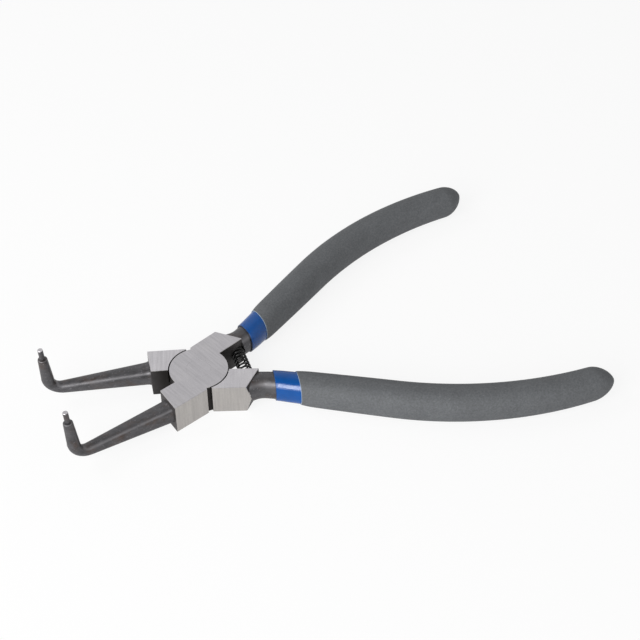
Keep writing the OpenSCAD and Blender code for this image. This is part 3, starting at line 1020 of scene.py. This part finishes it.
@as_material
def blue_vinyl(tree, shader, f):
    """Glossy blue dipped vinyl with a slightly uneven skin."""
    pools = noise(tree, 190, 2)
    base = vary(tree, pools, f.blue, scaled(f.blue, 0.88))
    surface(tree, shader, base, spread(tree, noise(tree, 700), f.blue_rough - 0.03, f.blue_rough + 0.05))
    shader.inputs["Specular IOR Level"].default_value = 0.32
    bump(tree, shader, pools, depth=0.05 * MM, strength=0.5)


@as_material
def grey_vinyl(tree, shader, f):
    """Matte grey dipped vinyl with a fine speckled grain."""
    grain = noise(tree, 1500, rough=0.7)
    clouds = noise(tree, 110, 4, rough=0.6)
    specks = noise(tree, 900, 1)
    base = vary(tree, clouds, scaled(f.grey, 0.94), scaled(f.grey, 1.10))
    base = darkened(tree, base, grain, (0.66, 0.66, 0.66), 0.35, 0.65)
    base = mix(tree, spread(tree, specks, 0, 0.3, 0.74, 0.80), base, scaled(f.grey, 2.0))
    surface(tree, shader, base, spread(tree, grain, f.grey_rough - 0.05, f.grey_rough + 0.08))
    bump(tree, shader, grain, depth=0.06 * MM, strength=0.6)


def smooth_lip(tree, shader, rgb):
    """Thin lip of a dipped layer."""
    runs = noise(tree, 600, 2)
    base = vary(tree, runs, rgb, scaled(rgb, 1.3))
    surface(tree, shader, base, spread(tree, runs, 0.3, 0.42))


@as_material
def blue_rim(tree, shader, f):
    """Dark front lip of a sleeve."""
    smooth_lip(tree, shader, f.sleeve_rim)


@as_material
def grey_rim(tree, shader, f):
    """Pale front lip of a grip."""
    smooth_lip(tree, shader, f.grip_rim)


# Pieces

class PLIERS_OT_levers(Operator):
    """Builds the two crossing levers with their blocks, arms, tips and tangs"""

    bl_idname = "pliers.levers"
    bl_label = "Levers"

    def execute(self, context):
        make_lever("dressed_upper_lever", 1, UPPER)
        make_lever("dressed_lower_lever", -1, LOWER)
        return {"FINISHED"}


class PLIERS_OT_rivet(Operator):
    """Builds the pivot rivet, ground flush with the joint"""

    bl_idname = "pliers.rivet"
    bl_label = "Pivot rivet"

    def execute(self, context):
        rivet = new_object("dressed_pivot_rivet", lathe(rivet_profile(0), LATHE_STEPS))
        rivet.data.materials.append(ground_steel(UPPER))
        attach(rivet, UPPER)
        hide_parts("pivot_rivet")
        return {"FINISHED"}


class PLIERS_OT_spring(Operator):
    """Winds the opening spring and lets it bend between the levers"""

    bl_idname = "pliers.spring"
    bl_label = "Opening spring"

    def execute(self, context):
        s = sizes("spring")
        spring = new_object("dressed_opening_spring", spring_mesh())
        spring.data.materials.append(spring_wire())
        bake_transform(spring)
        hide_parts("opening_spring")
        return {"FINISHED"}


def dip(layer, shape, material, rim):
    """Makes one layer on both handles."""
    for side, word, body in ((1, "upper", UPPER), (-1, "lower", LOWER)):
        piece = new_object(f"dressed_{word}_{layer}", shape(Handle(side)))
        piece.data.materials.append(material)
        piece.data.materials.append(rim)
        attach(piece, body)
        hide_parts(f"{word}_{layer}")


class PLIERS_OT_sleeves(Operator):
    """Dips the glossy blue sleeves over the tangs"""

    bl_idname = "pliers.sleeves"
    bl_label = "Blue sleeves"

    def execute(self, context):
        dip("sleeve", Handle.sleeve, blue_vinyl(), blue_rim())
        return {"FINISHED"}


class PLIERS_OT_grips(Operator):
    """Dips the matte grey grips over the sleeves"""

    bl_idname = "pliers.grips"
    bl_label = "Grey grips"

    def execute(self, context):
        dip("grip", Handle.grip, grey_vinyl(), grey_rim())
        return {"FINISHED"}


# Stage

SENSOR_W = 36
FLOOR_GAP = 0.1 * MM
# Share of the floor's own white in the picture; the rest shows the object's shadow
FLOOR_GLOW = 0.86


def toward(azimuth, elevation):
    """Unit vector from the object towards a viewer at these angles, in radians."""
    return Vector((math.sin(azimuth) * math.cos(elevation), -math.cos(azimuth) * math.cos(elevation),
                   math.sin(elevation)))


def aim(obj, target, back, distance):
    """Puts a camera or lamp at a distance from its target, looking at it."""
    obj.location = target + back * distance
    obj.rotation_mode = "QUATERNION"
    obj.rotation_quaternion = (-back).to_track_quat("-Z", "Y")
    bpy.context.scene.collection.objects.link(obj)


def area_lamp(name, target, azimuth, elevation, distance, width, height, power):
    """A softbox aimed at a point; angles in degrees, lengths in metres, power in watts."""
    data = bpy.data.lights.new(name, "AREA")
    data.shape, data.size, data.size_y, data.energy = "RECTANGLE", width, height, power
    lamp = bpy.data.objects.new(name, data)
    aim(lamp, target, toward(math.radians(azimuth), math.radians(elevation)), distance)
    return lamp


def seen_directly(tree):
    """1 for rays from the camera, and for those that metal and glass pass on."""
    path = add(tree, "ShaderNodeLightPath")
    total = path.outputs["Is Camera Ray"]
    for other in ("Is Glossy Ray", "Is Transmission Ray"):
        node = add(tree, "ShaderNodeMath", operation="MAXIMUM")
        tree.links.new(total, node.inputs[0])
        tree.links.new(path.outputs[other], node.inputs[1])
        total = node.outputs[0]
    return total


@as_material
def white_floor(tree, shader, f):
    """White that glows where it is seen, so that only the object's shadow shows on it."""
    surface(tree, shader, (0.96, 0.96, 0.96), 0.9)
    glow = add(tree, "ShaderNodeEmission")
    blend = add(tree, "ShaderNodeMixShader")
    feed(tree, times(tree, seen_directly(tree), FLOOR_GLOW), blend.inputs["Fac"])
    tree.links.new(shader.outputs["BSDF"], blend.inputs[1])
    tree.links.new(glow.outputs["Emission"], blend.inputs[2])
    tree.links.new(blend.outputs["Shader"], tree.nodes["Material Output"].inputs["Surface"])


def place_camera(scene, st):
    """Camera at the photograph's angle."""
    camera = bpy.data.objects.new("camera", bpy.data.cameras.new("camera"))
    camera.data.lens, camera.data.sensor_width = st.lens, SENSOR_W
    camera.data.clip_start, camera.data.clip_end = 0.01, 50
    aim(camera, Vector(st.target), toward(st.azimuth, st.elevation), st.distance)
    scene.camera = camera


def light_room(scene, st):
    """White room with a darker ceiling: white where it is seen, dimmer as a light."""
    world = bpy.data.worlds.new("studio")
    scene.world = world
    world.use_nodes = True
    tree = world.node_tree
    shine = tree.nodes["Background"]
    feed(tree, spread(tree, seen_directly(tree), st.sky, 1.0, start=0, end=1), shine.inputs["Strength"])
    rise = z_of(tree, add(tree, "ShaderNodeTexCoord").outputs["Generated"])
    overhead = spread(tree, rise, 0, 1, start=0.68, end=0.95)
    ceiling = (st.ceiling, st.ceiling, st.ceiling)
    feed(tree, mix(tree, overhead, (1, 1, 1), ceiling), shine.inputs["Color"])


def lay_floor(st):
    """Floor just below the object."""
    bm = bmesh.new()
    bmesh.ops.create_grid(bm, x_segments=1, y_segments=1, size=st.floor_w / 2)
    floor = new_object("floor", bm)
    floor.location.z = CAD_BOX[0].z - FLOOR_GAP
    floor.data.materials.append(white_floor())


def set_lamps(target):
    """A large softbox, a weak lamp behind it, and a card that only the glossy sleeves show."""
    area_lamp("left_softbox", target, azimuth=-60, elevation=28, distance=1.0, width=0.80, height=0.80,
              power=10.4)
    area_lamp("left_rim", target, azimuth=-125, elevation=42, distance=1.0, width=0.5, height=0.4,
              power=1.6)
    card = area_lamp("sleeve_card", target, azimuth=-41, elevation=36, distance=0.9, width=0.22,
                     height=0.60, power=6.0)
    card.visible_diffuse = False
    sleeves = bpy.data.collections.new("sleeves")
    card.light_linking.receiver_collection = sleeves
    for name in ("dressed_upper_sleeve", "dressed_lower_sleeve"):
        sleeves.objects.link(bpy.data.objects[name])


class PLIERS_OT_stage(Operator):
    """Sets the floor, the soft light and the camera"""

    bl_idname = "pliers.stage"
    bl_label = "Stage"

    def execute(self, context):
        st = sizes("stage")
        context.scene.view_settings.view_transform = "Standard"
        place_camera(context.scene, st)
        light_room(context.scene, st)
        lay_floor(st)
        set_lamps(Vector(st.target))
        return {"FINISHED"}


class PLIERS_PT_sidebar(Panel):
    """Pieces and sizes of the pliers"""

    bl_label = "Circlip pliers"
    bl_idname = "PLIERS_PT_sidebar"
    bl_space_type = "VIEW_3D"
    bl_region_type = "UI"
    bl_category = "Pliers"

    def draw(self, context):
        column = self.layout.column()
        for operator in OPERATORS:
            column.operator(operator.bl_idname)
        for group, kind in SIZES.items():
            column.label(text=kind.__doc__)
            for name in kind.__annotations__:
                column.prop(sizes(group), name)


OPERATORS = (PLIERS_OT_levers, PLIERS_OT_rivet, PLIERS_OT_spring, PLIERS_OT_sleeves, PLIERS_OT_grips,
             PLIERS_OT_stage)
CLASSES = (*SIZES.values(), *OPERATORS, PLIERS_PT_sidebar)


def register():
    for cls in CLASSES:
        bpy.utils.register_class(cls)
    for group, kind in SIZES.items():
        setattr(bpy.types.Scene, "pliers_" + group, PointerProperty(type=kind))


def unregister():
    for group in SIZES:
        delattr(bpy.types.Scene, "pliers_" + group)
    for cls in reversed(CLASSES):
        bpy.utils.unregister_class(cls)


def main():
    register()
    bpy.ops.pliers.levers()
    bpy.ops.pliers.rivet()
    bpy.ops.pliers.spring()
    bpy.ops.pliers.sleeves()
    bpy.ops.pliers.grips()
    bpy.ops.pliers.stage()


if __name__ == "__main__":
    main()
